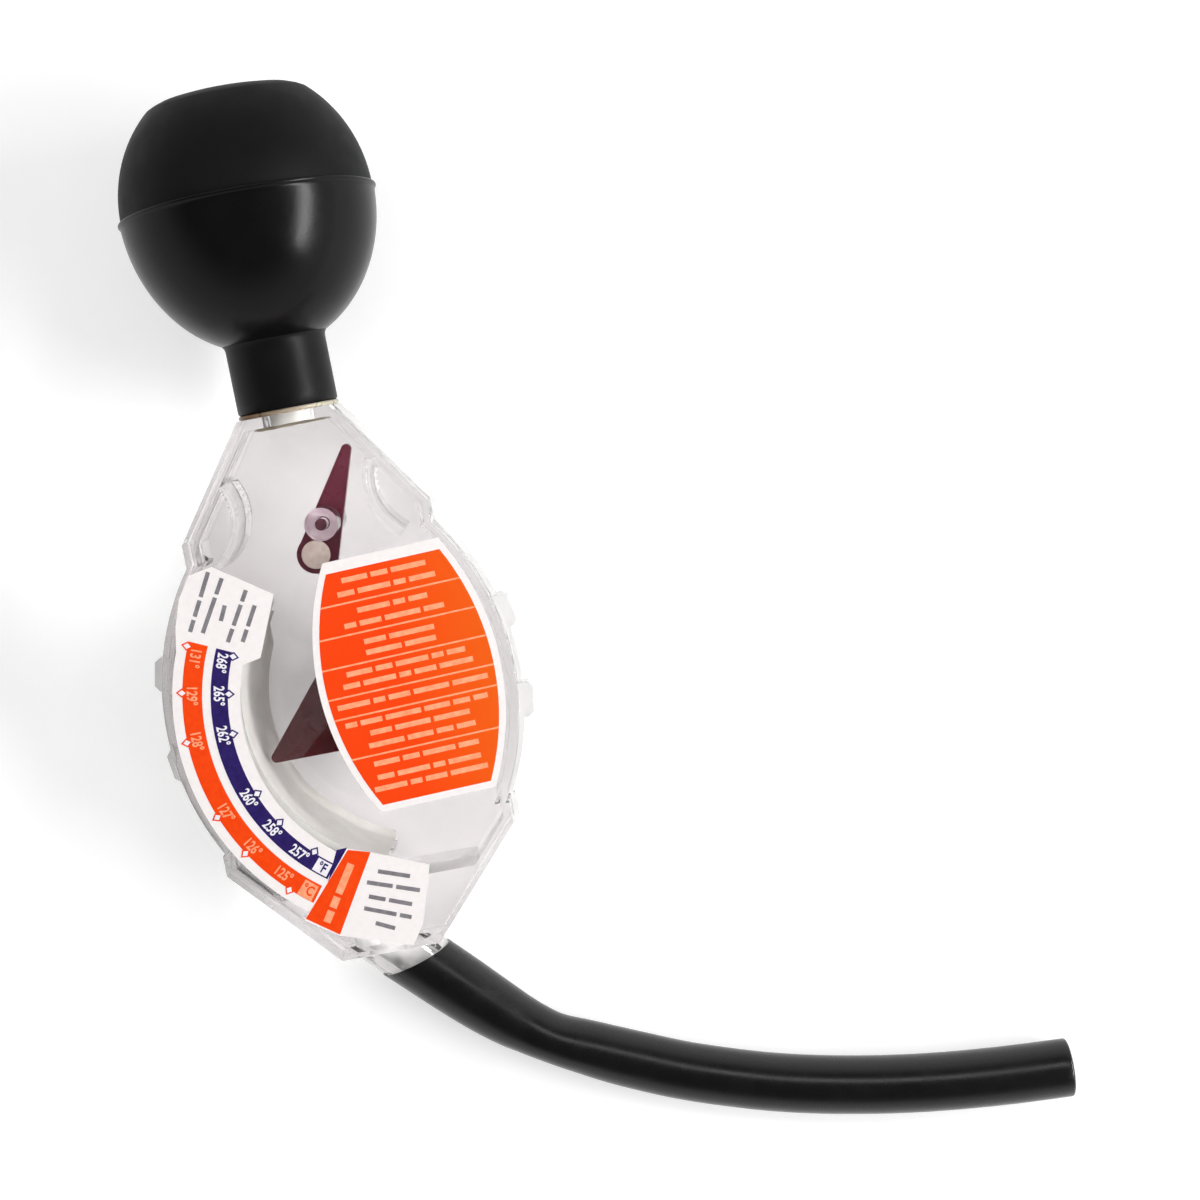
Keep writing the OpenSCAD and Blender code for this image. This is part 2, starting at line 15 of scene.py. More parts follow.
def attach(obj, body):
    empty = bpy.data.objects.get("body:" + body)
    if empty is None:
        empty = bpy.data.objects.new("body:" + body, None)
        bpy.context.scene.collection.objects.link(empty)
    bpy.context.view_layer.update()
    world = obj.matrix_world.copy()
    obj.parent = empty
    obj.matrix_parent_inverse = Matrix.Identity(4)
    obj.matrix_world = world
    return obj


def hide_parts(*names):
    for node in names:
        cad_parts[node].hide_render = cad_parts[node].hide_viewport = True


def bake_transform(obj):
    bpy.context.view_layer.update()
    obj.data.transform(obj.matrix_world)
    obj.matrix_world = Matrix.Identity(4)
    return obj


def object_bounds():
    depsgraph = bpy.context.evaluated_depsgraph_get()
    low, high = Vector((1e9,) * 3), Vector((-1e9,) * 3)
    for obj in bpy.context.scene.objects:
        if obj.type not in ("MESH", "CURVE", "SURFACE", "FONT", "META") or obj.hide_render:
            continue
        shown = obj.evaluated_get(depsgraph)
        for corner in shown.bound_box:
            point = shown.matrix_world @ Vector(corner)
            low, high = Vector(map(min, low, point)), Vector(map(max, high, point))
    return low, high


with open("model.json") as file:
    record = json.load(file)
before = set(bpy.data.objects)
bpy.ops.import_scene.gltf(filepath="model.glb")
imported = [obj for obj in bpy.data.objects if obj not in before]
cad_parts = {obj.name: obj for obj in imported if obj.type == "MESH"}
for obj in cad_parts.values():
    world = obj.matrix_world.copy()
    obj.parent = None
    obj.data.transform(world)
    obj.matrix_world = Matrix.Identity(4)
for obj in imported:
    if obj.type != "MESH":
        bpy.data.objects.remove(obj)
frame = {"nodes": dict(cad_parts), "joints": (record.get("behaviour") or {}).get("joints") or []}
cad_low, cad_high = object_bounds()

MM = 0.001

# The tester's frame
joints = {joint["name"]: joint for joint in frame["joints"]}
DIAL = Vector((15, -58.9, 0))
FACE_Z = 12
LABEL_T = 0.2
PRINT_T = 0.03

front = Vector(joints["float_swing"]["axis"]).normalized()
across = Vector((1, 0, 0))
along = front.cross(across)
LAY = Matrix((across, along, front)).transposed().to_4x4()
LAY.translation = Vector(joints["float_swing"]["pos_m"]) - LAY.to_3x3() @ DIAL * MM
TURN_BACK = Matrix.Rotation(math.pi, 4, "Y")


def laid(x, y, z):
    """A point of the tester's own frame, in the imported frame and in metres."""
    return LAY @ (Vector((x, y, z)) * MM)


# Camera
CAMERA_AT = (0.0545, -0.0164, 0.480)
CAMERA_TURN = -10.685
FOCAL_PX = 2277
IMAGE_PX = 1200
SENSOR_MM = 36
CLIP_START = 0.01

camera_data = bpy.data.cameras.new("camera")
camera_data.sensor_width = SENSOR_MM
camera_data.lens = SENSOR_MM * FOCAL_PX / IMAGE_PX
camera_data.clip_start = CLIP_START
camera = bpy.data.objects.new("camera", camera_data)
camera.location = CAMERA_AT
camera.rotation_euler = (0, 0, math.radians(CAMERA_TURN))
bpy.context.scene.collection.objects.link(camera)
bpy.context.scene.camera = camera


def srgb(red, green, blue):
    """A colour given as 0 to 255, as the shader takes it."""
    def linear(value):
        value = value / 255
        return value / 12.92 if value <= 0.04045 else ((value + 0.055) / 1.055) ** 2.4
    return (linear(red), linear(green), linear(blue), 1)


# The span that noise seldom leaves
NOISE_SPAN = (0.3, 0.7)


class Look:
    """A node material with short calls for the few nodes that these materials use."""

    def __init__(self, name):
        self.material = bpy.data.materials.new(name)
        self.material.use_nodes = True
        self.tree = self.material.node_tree
        self.shader = self.tree.nodes["Principled BSDF"]
        self.output = self.tree.nodes["Material Output"]

    def set(self, **values):
        """Sets inputs of the main shader; an underscore stands for a space."""
        for name, value in values.items():
            self.shader.inputs[name.replace("_", " ")].default_value = value

    def link(self, source, target):
        self.tree.links.new(source, target)

    def place(self):
        """Where a point lies in the piece's own frame, in metres."""
        return self.tree.nodes.new("ShaderNodeTexCoord").outputs["Object"]

    def scaled(self, value, span, low=0, high=1):
        """From low to high as value goes over span."""
        scale = self.tree.nodes.new("ShaderNodeMapRange")
        for name, number in zip(("From Min", "From Max", "To Min", "To Max"), (*span, low, high)):
            scale.inputs[name].default_value = number
        self.link(value, scale.inputs["Value"])
        return scale.outputs["Result"]

    def noise(self, grain, detail=3):
        """Noise whose lumps are about grain metres across."""
        texture = self.tree.nodes.new("ShaderNodeTexNoise")
        texture.inputs["Scale"].default_value = 1 / grain
        texture.inputs["Detail"].default_value = detail
        self.link(self.place(), texture.inputs["Vector"])
        return texture.outputs["Fac"]

    def across(self, start, end):
        """From 0 to 1 between two places across the tester, in metres."""
        parts = self.tree.nodes.new("ShaderNodeSeparateXYZ")
        self.link(self.place(), parts.inputs["Vector"])
        return self.scaled(parts.outputs["X"], (start, end))

    def away(self, span, low, high):
        """From low to high over a span of distances from the piece's own origin, in metres."""
        distance = self.tree.nodes.new("ShaderNodeVectorMath")
        distance.operation = "LENGTH"
        self.link(self.place(), distance.inputs[0])
        return self.scaled(distance.outputs["Value"], span, low, high)

    def colour(self, value, low, high, span=NOISE_SPAN):
        """Colours the shader from low to high as value goes over span."""
        ramp = self.tree.nodes.new("ShaderNodeValToRGB")
        for stop, place, shade in zip(ramp.color_ramp.elements, span, (low, high)):
            stop.position = place
            stop.color = shade
        self.link(value, ramp.inputs["Fac"])
        self.link(ramp.outputs["Color"], self.shader.inputs["Base Color"])

    def roughness(self, value, low, high):
        self.link(self.scaled(value, NOISE_SPAN, low, high), self.shader.inputs["Roughness"])

    def bump(self, value, height, strength):
        """Raises the surface by value times height, in metres."""
        node = self.tree.nodes.new("ShaderNodeBump")
        node.inputs["Strength"].default_value = strength
        node.inputs["Distance"].default_value = height
        self.link(value, node.inputs["Height"])
        self.link(node.outputs["Normal"], self.shader.inputs["Normal"])

    def lets_light_through(self):
        """Shadow rays pass, so that lamps reach what is behind clear plastic."""
        path = self.tree.nodes.new("ShaderNodeLightPath")
        clear = self.tree.nodes.new("ShaderNodeBsdfTransparent")
        mix = self.tree.nodes.new("ShaderNodeMixShader")
        self.link(path.outputs["Is Shadow Ray"], mix.inputs["Fac"])
        self.link(self.shader.outputs["BSDF"], mix.inputs[1])
        self.link(clear.outputs["BSDF"], mix.inputs[2])
        self.link(mix.outputs["Shader"], self.output.inputs["Surface"])
        return self


CLEAR_IOR = 1.42
PRINT_GLOSS = 0.25


def clear_plastic(name, clearness, dark, light):
    look = Look(name)
    look.set(Transmission_Weight=clearness, IOR=CLEAR_IOR)
    look.colour(look.noise(0.03), dark, light)
    look.roughness(look.noise(0.006), low=0, high=0.03)
    look.bump(look.noise(0.014, detail=1), height=0.00005, strength=0.15)
    return look.lets_light_through().material


def rubber(name, dark, light, smooth, rough, grain, gloss):
    look = Look(name)
    look.set(Specular_IOR_Level=gloss)
    look.colour(look.noise(0.014), dark, light)
    look.roughness(look.noise(0.005, detail=4), smooth, rough)
    look.bump(look.noise(grain, detail=4), height=0.00004, strength=0.4)
    return look.material


def cement():
    look = Look("cement")
    look.set(Transmission_Weight=0.35, IOR=1.5, Subsurface_Weight=0.2)
    look.set(Subsurface_Radius=(0.004, 0.002, 0.001), Subsurface_Scale=0.5)
    look.colour(look.across(-0.009, 0.008), srgb(112, 74, 22), srgb(216, 206, 184), span=(0.1, 0.9))
    look.roughness(look.noise(0.002), low=0.2, high=0.45)
    look.bump(look.noise(0.0025), height=0.0003, strength=0.6)
    return look.material


def old_cement():
    look = Look("old_cement")
    look.colour(look.noise(0.003), srgb(104, 96, 80), srgb(146, 136, 116))
    look.roughness(look.noise(0.001), low=0.4, high=0.6)
    look.bump(look.noise(0.0008), height=0.00008, strength=0.6)
    return look.material


def frosted_plastic():
    look = Look("frosted_plastic")
    look.set(Transmission_Weight=0.45, IOR=1.49)
    look.colour(look.noise(0.002), srgb(212, 184, 195), srgb(241, 222, 231))
    look.roughness(look.noise(0.001), low=0.3, high=0.5)
    look.bump(look.noise(0.0006), height=0.00003, strength=0.5)
    return look.material


def matte_bore():
    """Plastic with a dull skin, for the bore under the bulb and the wall around the dial."""
    look = Look("matte_bore")
    look.set(Transmission_Weight=0.2, IOR=CLEAR_IOR)
    look.colour(look.noise(0.004), srgb(238, 236, 230), srgb(248, 247, 243))
    look.roughness(look.noise(0.001), low=0.5, high=0.7)
    look.bump(look.noise(0.0005), height=0.00002, strength=0.4)
    return look.material


def frosted_rim():
    look = Look("frosted_rim")
    look.set(Transmission_Weight=0.45, IOR=CLEAR_IOR)
    look.colour(look.noise(0.006), srgb(246, 245, 244), srgb(253, 252, 251))
    look.roughness(look.noise(0.002), low=0.1, high=0.25)
    look.bump(look.noise(0.003), height=0.00003, strength=0.3)
    return look.lets_light_through().material


def tinted_plastic(name, dark, light):
    look = Look(name)
    look.set(Specular_IOR_Level=0.2)
    look.colour(look.noise(0.009), dark, light)
    look.roughness(look.noise(0.003), low=0.22, high=0.4)
    look.bump(look.noise(0.004), height=0.00005, strength=0.5)
    return look.material


def metal(name, dark, light, smooth, rough, bare=1.0):
    look = Look(name)
    look.set(Metallic=bare)
    look.colour(look.noise(0.0015, detail=4), dark, light)
    look.roughness(look.noise(0.0006, detail=3), smooth, rough)
    look.bump(look.noise(0.0004, detail=3), height=0.00002, strength=0.5)
    return look.material


def paper_finish(look):
    """The sheen and grain that paper and print share."""
    look.set(Specular_IOR_Level=PRINT_GLOSS)
    look.roughness(look.noise(0.002), low=0.4, high=0.55)
    look.bump(look.noise(0.0005, detail=4), height=0.00001, strength=0.4)
    return look.material


def paper(name, dark, light):
    look = Look(name)
    look.colour(look.noise(0.0012, detail=5), dark, light)
    return paper_finish(look)


def faded_print():
    """The instruction label's ink, yellower towards the label's right edge."""
    look = Look("faded_print")
    look.colour(look.across(0.012, 0.034), srgb(249, 68, 3), srgb(238, 98, 14), span=(0, 1))
    return paper_finish(look)


CLEAR = clear_plastic("clear_plastic", 1, srgb(229, 227, 227), srgb(235, 233, 233))
CLOUDED = clear_plastic("clouded_plastic", 0.94, srgb(229, 227, 227), srgb(235, 233, 233))
# A paler copy of the clear plastic for the covers' steep walls: painted light that brightens them.
CLEAR_WALL_PAINTED_LIGHT = clear_plastic("clear_plastic_painted_light", 1, srgb(247, 246, 246), srgb(251, 250, 250))
FROSTED = frosted_plastic()
MATTE = matte_bore()
RIM = frosted_rim()
CEMENT = cement()
OLIVE = old_cement()
# The float pointer is the same plastic as the level pointer, painted darker as the shade of the scale label
# over it.
FLOAT_PAINTED_SHADE = tinted_plastic("pointer_plastic_painted_shade", srgb(72, 12, 18), srgb(92, 24, 30))
LEVEL = tinted_plastic("pointer_plastic", srgb(80, 26, 40), srgb(102, 46, 60))
BULB_LOWER = rubber(
    "bulb_rubber_lower", srgb(9, 9, 10), srgb(15, 15, 16),
    smooth=0.21, rough=0.27, grain=0.0016, gloss=0.145,
)
BULB_NECK = rubber(
    "bulb_rubber_neck", srgb(10, 10, 11), srgb(17, 17, 18),
    smooth=0.38, rough=0.46, grain=0.0012, gloss=0.13,
)
BULB_UPPER = rubber(
    "bulb_rubber_upper", srgb(13, 13, 14), srgb(19, 19, 20),
    smooth=0.5, rough=0.6, grain=0.0007, gloss=0.1,
)
HOSE = rubber(
    "hose_rubber", srgb(7, 7, 8), srgb(13, 13, 14),
    smooth=0.24, rough=0.32, grain=0.0012, gloss=0.42,
)
STEEL = metal("pin_steel", srgb(74, 34, 46), srgb(104, 62, 72), smooth=0.25, rough=0.45, bare=0.4)
WEIGHT = metal("weight_metal", srgb(222, 200, 188), srgb(242, 226, 216), smooth=0.35, rough=0.55, bare=0.2)
BRASS = metal("brass", srgb(176, 140, 70), srgb(206, 170, 98), smooth=0.3, rough=0.5)
PAPER = paper("label_paper", srgb(245, 238, 237), srgb(249, 244, 243))
ORANGE = paper("orange_print", srgb(244, 64, 2), srgb(250, 74, 6))
FADED = faded_print()
PALE = paper("pale_print", srgb(252, 150, 104), srgb(255, 178, 136))
NAVY = paper("navy_print", srgb(34, 20, 84), srgb(48, 32, 104))
WHITE = paper("white_print", srgb(236, 232, 240), srgb(248, 246, 250))
GREY = paper("grey_print", srgb(116, 112, 118), srgb(140, 136, 140))


def add_piece(name, mesh, body, materials):
    """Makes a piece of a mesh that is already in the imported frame; it rides on a body if one is given."""
    piece = bpy.data.objects.new(name, mesh)
    bpy.context.scene.collection.objects.link(piece)
    for material in materials:
        mesh.materials.append(material)
    if body:
        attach(piece, body)
    return piece


def settled(piece):
    """A piece or a text as a plain mesh, with its modifiers applied."""
    depsgraph = bpy.context.evaluated_depsgraph_get()
    return bpy.data.meshes.new_from_object(piece.evaluated_get(depsgraph))


SMOOTH_BELOW = math.radians(35)
FLAT_WITHIN = math.radians(0.5)
SAME_POINT = 1e-6
ROUND_STEPS = 2


def finished(shape, name, smooth_below=math.pi):
    """A smooth mesh, with sharp edges where its faces turn by more than smooth_below."""
    bmesh.ops.recalc_face_normals(shape, faces=shape.faces)
    mesh = bpy.data.meshes.new(name)
    shape.to_mesh(mesh)
    shape.free()
    mesh.shade_smooth()
    mesh.set_sharp_from_angle(angle=smooth_below)
    return mesh


def skin(shape, loops):
    """Faces between rings of points, each ring joined to the next."""
    for one, two in zip(loops, loops[1:]):
        for i in range(len(one)):
            j = (i + 1) % len(one)
            shape.faces.new((one[i], one[j], two[j], two[i]))


def softened(node, body, material, round_mm):
    """Stands for a CAD node with the same shape and its edges rounded, as a moulding has them."""
    mesh = frame["nodes"][node].data.copy()
    mesh.materials.clear()
    shape = bmesh.new()
    shape.from_mesh(mesh)
    bmesh.ops.remove_doubles(shape, verts=shape.verts, dist=SAME_POINT)
    bmesh.ops.dissolve_limit(shape, angle_limit=FLAT_WITHIN, verts=shape.verts, edges=shape.edges)
    shape.to_mesh(mesh)
    shape.free()
    mesh.shade_smooth()
    mesh.set_sharp_from_angle(angle=SMOOTH_BELOW)
    piece = add_piece(node + "_moulding", mesh, None, [material])
    bevel = piece.modifiers.new("rounding", "BEVEL")
    bevel.width = round_mm * MM
    bevel.segments = ROUND_STEPS
    bevel.limit_method = "ANGLE"
    bevel.angle_limit = SMOOTH_BELOW
    bevel.use_clamp_overlap = True
    bevel.harden_normals = True
    piece.data = settled(piece)
    piece.modifiers.clear()
    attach(piece, body)
    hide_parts(node)
    return piece


# Suction hose
HOSE_R = 6
HOSE_BORE_R = 4
# Points of the hose's middle line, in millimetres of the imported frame
HOSE_ROUTE = [
    (4.041, -82.399, 9.141), (11.112, -89.43, 8.394), (18.183, -96.462, 7.647), (21.9, -99.9, 7.3),
    (26, -103, 7), (30.5, -105.7, 6.7), (35.9, -108.2, 6.5), (43.8, -111.7, 6.2),
    (53, -115.6, 6.1), (62.4, -118.9, 6.1), (72, -121.8, 6.1), (81.7, -124.1, 6.1),
    (91.6, -126, 6.1), (101.5, -127.5, 6.1), (111.4, -128.6, 6.1), (121.4, -129.4, 6.1),
    (132.5, -130, 6.1),
]
SEAT_ANGLE = 16
NIPPLE_LEN = 19
NIPPLE_SWELL = 0.12
SWELL_REACH = 1.4
SEAT_REACH = 0.45
LIP = 0.7
KINK_AT = 32.5
# Length of a dent along the hose, and its depth as a share of the radius
KINK_INNER = (4, 0.06)
KINK_OUTER = (10.5, 0.19)
RIM_ROUND = 0.5
RIM_EASE = 0.15
HOSE_SIDES = 48
HOSE_SMOOTH = math.radians(60)
FINE_STEPS = 6


def through(points, steps):
    """A smooth line through points, with steps stretches between each two."""
    ends = [2 * points[0] - points[1]] + points + [2 * points[-1] - points[-2]]
    line = []
    for before, here, there, after in zip(ends, ends[1:], ends[2:], ends[3:]):
        for step in range(steps):
            t = step / steps
            line.append(0.5 * (
                2 * here + (there - before) * t + (2 * before - 5 * here + 4 * there - after) * t ** 2
                + (3 * here - before - 3 * there + after) * t ** 3
            ))
    return line + [points[-1]]


def dent(run, length, depth):
    """How far a side of the hose is pressed in at a place along it, as a share of its radius."""
    return depth * math.exp(-((run - KINK_AT) / length) ** 2)


def hose_ring(centre, way, radius, inner=0, outer=0):
    """Points round the hose at a place on its route, pressed in on both sides of the bend."""
    side = way.cross(Vector((0, 0, 1))).normalized()
    up = side.cross(way)
    ring = []
    for i in range(HOSE_SIDES):
        angle = 2 * math.pi * i / HOSE_SIDES
        pressed = (outer if math.cos(angle) > 0 else inner) * math.cos(angle) ** 2
        length = radius * (1 - pressed)
        ring.append(centre + length * (math.cos(angle) * side + math.sin(angle) * up))
    return ring


def on_seat(ring, start, way, normal):
    """Slides the ring's points along the hose until they lie on the slanted seat."""
    return [point + way * ((start - point).dot(normal) / way.dot(normal)) for point in ring]


def suction_hose():
    line = through([Vector(point) for point in HOSE_ROUTE], FINE_STEPS)
    ways = [(b - a).normalized() for a, b in zip(line, line[1:])]
    ways.append(ways[-1])
    turn = math.radians(SEAT_ANGLE)
    seat_normal = LAY.to_3x3() @ Vector((math.sin(turn), -math.cos(turn), 0))
    straight = ways[0]
    run = 0
    outer, inner = [], []
    for i, (centre, way) in enumerate(zip(line, ways)):
        run += (centre - line[i - 1]).length if i else 0
        dents = dent(run, *KINK_INNER), dent(run, *KINK_OUTER)
        if 0 < run < 2 * HOSE_R * SEAT_REACH:
            # The slanted seat would cross a ring here.
            continue
        swell = 1 + NIPPLE_SWELL * max(0, 1 - (run / (SWELL_REACH * NIPPLE_LEN)) ** 2)
        ring = hose_ring(centre, way, HOSE_R * swell, *dents)
        bore = hose_ring(centre, way, HOSE_BORE_R, *dents)
        if i == 0:
            ring = on_seat(ring, centre - LIP * straight, straight, seat_normal)
            bore = on_seat(bore, centre, straight, seat_normal)
        outer.append(ring)
        inner.append(bore)
    end, last = line[-1], ways[-1]
    outer[-1] = hose_ring(end - RIM_ROUND * last, last, HOSE_R)
    outer.append(hose_ring(end - RIM_EASE * last, last, HOSE_R - RIM_EASE))
    outer.append(hose_ring(end, last, HOSE_R - RIM_ROUND))
    rings = outer + inner[::-1]
    shape = bmesh.new()
    loops = [[shape.verts.new(point * MM) for point in ring] for ring in rings]
    skin(shape, loops + loops[:1])
    mesh = finished(shape, "suction_hose_rubber", HOSE_SMOOTH)
    piece = add_piece("suction_hose_rubber", mesh, "casing", [HOSE])
    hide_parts("suction_hose")


suction_hose()

# Squeeze bulb
BULB_R = 25.5
BULB_STEP = 0.3
BULB_MID = 41.9
BULB_LOW = 29.5
BULB_UP = 27
BULB_H = 64.7
RIDGE_OUT = 0.4
RIDGE_H = 1
RIDGE_LEAN = 3.5
NECK_R = 10.1
CEMENT_T = 0.9
SPIGOT_R = 7.8
NECK_PLAY = 0.3
NECK_ROUND = 0.4
NECK_STEPS = 5
# Radius past the neck and height past its top, where it runs out into the bulb
NECK_FLARE = ((0, -0.9), (0.12, -0.3), (0.45, 0.2))
# Shares of the ridge's height and of how far it stands out
RIDGE_SHAPE = ((0.15, 0.3), (0.35, 0.75), (0.6, 1), (0.82, 0.9), (0.96, 0.5))
CROWN_H = 2
# Share of the crown's radius and depth below the top
CROWN_SHAPE = ((0.93, 1.4), (0.83, 0.8), (0.65, 0.3), (0.35, 0.05), (0, 0))
OVAL_STEPS = 28
BULB_SIDES = 128
BULB_SMOOTH = math.radians(50)
LOWER, UPPER, NECK = range(3)


def oval(radius, half_height, height):
    return radius * math.sqrt(max(0, 1 - (height / half_height) ** 2))


def bulb_profile():
    """Radius and height of the bulb's outside in two halves, and how many points the neck has."""
    meet = -BULB_LOW * math.sqrt(1 - (NECK_R / BULB_R) ** 2)
    neck_top = BULB_MID + meet
    lower = [(SPIGOT_R + NECK_PLAY, CEMENT_T), (NECK_R - NECK_ROUND, CEMENT_T)]
    lower.append((NECK_R, CEMENT_T + NECK_ROUND))
    for step in range(1, NECK_STEPS):
        lower.append((NECK_R, CEMENT_T + (neck_top - CEMENT_T) * step / NECK_STEPS))
    for out, past in NECK_FLARE:
        lower.append((NECK_R + out, neck_top + past))
    for step in range(2, OVAL_STEPS + 1):
        height = meet * math.cos(math.pi / 2 * step / OVAL_STEPS)
        lower.append((oval(BULB_R, BULB_LOW, height), BULB_MID + height))
    lower[-1] = (BULB_R, BULB_MID - RIDGE_H)
    neck_rows = sum(height < neck_top for _, height in lower)
    ridge = []
    for share, out in RIDGE_SHAPE:
        ridge.append((BULB_R + out * RIDGE_OUT, BULB_MID - RIDGE_H * (1 - share)))
    upper = []
    edge = BULB_H - CROWN_H - BULB_MID
    for step in range(OVAL_STEPS + 1):
        height = edge * math.sin(math.pi / 2 * step / OVAL_STEPS)
        upper.append((oval(BULB_R - BULB_STEP, BULB_UP, height), BULB_MID + height))
    crown = upper[-1][0]
    for share, depth in CROWN_SHAPE:
        upper.append((share * crown, BULB_H - depth))
    return lower + ridge, upper, neck_rows


def bulb_material(row, neck_rows, lower_rows):
    if row < neck_rows:
        return NECK
    return LOWER if row < lower_rows else UPPER


def squeeze_bulb():
    lower, upper, neck_rows = bulb_profile()
    profile = lower + upper
    shape = bmesh.new()
    loops = []
    for radius, height in profile:
        if radius == 0:
            loops.append([shape.verts.new(laid(0, height, 0))] * BULB_SIDES)
            continue
        ring = []
        near_ridge = max(0, 1 - abs(height - BULB_MID) / (BULB_H - BULB_MID))
        lean = math.tan(math.radians(RIDGE_LEAN)) * near_ridge
        for i in range(BULB_SIDES):
            angle = 2 * math.pi * i / BULB_SIDES
            x, z = radius * math.sin(angle), radius * math.cos(angle)
            ring.append(shape.verts.new(laid(x, height + lean * z, z)))
        loops.append(ring)
    for row, (one, two) in enumerate(zip(loops, loops[1:])):
        for i in range(BULB_SIDES):
            j = (i + 1) % BULB_SIDES
            corners = list(dict.fromkeys((one[i], one[j], two[j], two[i])))
            face = shape.faces.new(corners)
            face.material_index = bulb_material(row, neck_rows, len(lower))
    mesh = finished(shape, "squeeze_bulb_rubber", BULB_SMOOTH)
    piece = add_piece("squeeze_bulb_rubber", mesh, None, [BULB_LOWER, BULB_UPPER, BULB_NECK])
    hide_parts("squeeze_bulb")
    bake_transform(piece)


squeeze_bulb()

# Casing, cement and pointers
front_moulding = softened("front_cover", "casing", CLEAR, round_mm=0.35)
rear_moulding = softened("rear_cover", "casing", CLOUDED, round_mm=0.35)
softened("bulb_cement", "casing", CEMENT, round_mm=0.5)
softened("float_pointer", "float", FLOAT_PAINTED_SHADE, round_mm=0.3)
softened("level_pointer", "level", LEVEL, round_mm=0.3)
softened("float_pin", "casing", STEEL, round_mm=0.2)
softened("level_pin", "casing", STEEL, round_mm=0.2)
softened("float_slug", "float", BRASS, round_mm=0.2)
softened("level_weight", "level", WEIGHT, round_mm=0.2)

# Edges of the covers, with heights from the weld plane
FROSTED_TO = 3.2
WELD_FACE = 0.05
WELD_GAP = 0.02
# Faces whose normal leans further than this from the front get the paler, painted light copy of the clear
# plastic.
STEEP = 0.7


def finish_edges(cover):
    """Clouds the flange and lugs, as welding does, and gives the steep walls a paler copy of the clear
    plastic, painted light that brightens them.
    """
    materials = cover.data.materials
    materials.append(RIM)
    rim = len(materials) - 1
    # The paler, painted light copy of the clear plastic, for the steep walls.
    materials.append(CLEAR_WALL_PAINTED_LIGHT)
    edge = len(materials) - 1
    to_tester = LAY.inverted()
    for face in cover.data.polygons:
        height = abs((to_tester @ face.center).z) / MM
        if WELD_FACE < height < FROSTED_TO + WELD_FACE:
            face.material_index = rim
        elif abs(face.normal.dot(front)) < STEEP:
            face.material_index = edge


finish_edges(front_moulding)
finish_edges(rear_moulding)
# A hair's gap keeps the two covers' welded faces from lying on each other.
rear_moulding.data.transform(Matrix.Translation(-WELD_GAP * MM * front))

# Small finish on the casing
CEMENT_LINE_Y = -2.45
CEMENT_LINE_Z = 9.7
CEMENT_LINE_X = (-6.2, 9.2)
CEMENT_LINE_R = (0.36, 0.16)
CEMENT_LINE_TOP = 0.28
CEMENT_LINE_TIP = 0.2
CEMENT_LINE_TAPER = 8
CEMENT_LINE_WAVE = 0.12
CEMENT_LINE_TURN = 31
BORE_R = 5.15
BORE_SKIN = 0.1
BORE_Y = (-2.1, 11.5)
DIAL_WALL_R = 34.85
DIAL_WALL_ENDS = (-35, 69)
DIAL_WALL_Z = (-9.9, 9.9)
DIAL_WALL_T = 1.5
DIAL_WALL_FOOT = 1.6
DIAL_WALL_SKIN = 0.04
LEVEL_PIN = (3, -22.9)
BOSS_END_R = (1.35, 3.3)
BOSS_END_Z = (3.12, 3.3)
BOSS_END_ROUND = (0.1, 0.06)
RING_SIDES = 64


def cement_line():
    """A bead of cement that ran along the top edge of the chamber and thins out to the right."""
    steps, sides = 40, 12
    shape = bmesh.new()
    loops = []
    for step in range(steps + 1):
        share = step / steps
        x = CEMENT_LINE_X[0] + (CEMENT_LINE_X[1] - CEMENT_LINE_X[0]) * share
        radius = CEMENT_LINE_R[0] + (CEMENT_LINE_R[1] - CEMENT_LINE_R[0]) * share
        from_tip = min(share, 1 - share)
        radius *= min(1, CEMENT_LINE_TIP + CEMENT_LINE_TAPER * from_tip)
        radius *= 1 + CEMENT_LINE_WAVE * math.sin(CEMENT_LINE_TURN * share)
        ring = []
        for i in range(sides):
            angle = 2 * math.pi * i / sides
            y = CEMENT_LINE_Y + radius * math.cos(angle)
            z = CEMENT_LINE_Z + min(CEMENT_LINE_TOP, radius * math.sin(angle))
            ring.append(shape.verts.new(laid(x, y, z)))
        loops.append(ring)
    skin(shape, loops)
    shape.faces.new(loops[0])
    shape.faces.new(loops[-1])
    add_piece("cement_line", finished(shape, "cement_line"), "casing", [OLIVE])


def bore_wall():
    """The matte skin that a moulding pin leaves in the bore under the bulb."""
    corners = [(BORE_R, y) for y in BORE_Y] + [(BORE_R - BORE_SKIN, y) for y in BORE_Y[::-1]]
    shape = bmesh.new()
    loops = []
    for radius, y in corners:
        angles = [2 * math.pi * i / RING_SIDES for i in range(RING_SIDES)]
        ring = [laid(radius * math.sin(angle), y, radius * math.cos(angle)) for angle in angles]
        loops.append([shape.verts.new(point) for point in ring])
    skin(shape, loops + loops[:1])
    add_piece("bore_wall", finished(shape, "bore_wall", SMOOTH_BELOW), "casing", [MATTE])


def shifted(outline, by):
    """An open outline moved to its left by a distance, with its corners mitred."""
    points = [Vector(point) for point in outline]
    ways = [(b - a).normalized() for a, b in zip(points, points[1:])]
    moved = []
    for point, before, after in zip(points, ways[:1] + ways, ways + ways[-1:]):
        lean = (before + after).normalized()
        moved.append(point + Vector((-lean.y, lean.x)) * by / lean.dot(after))
    return moved


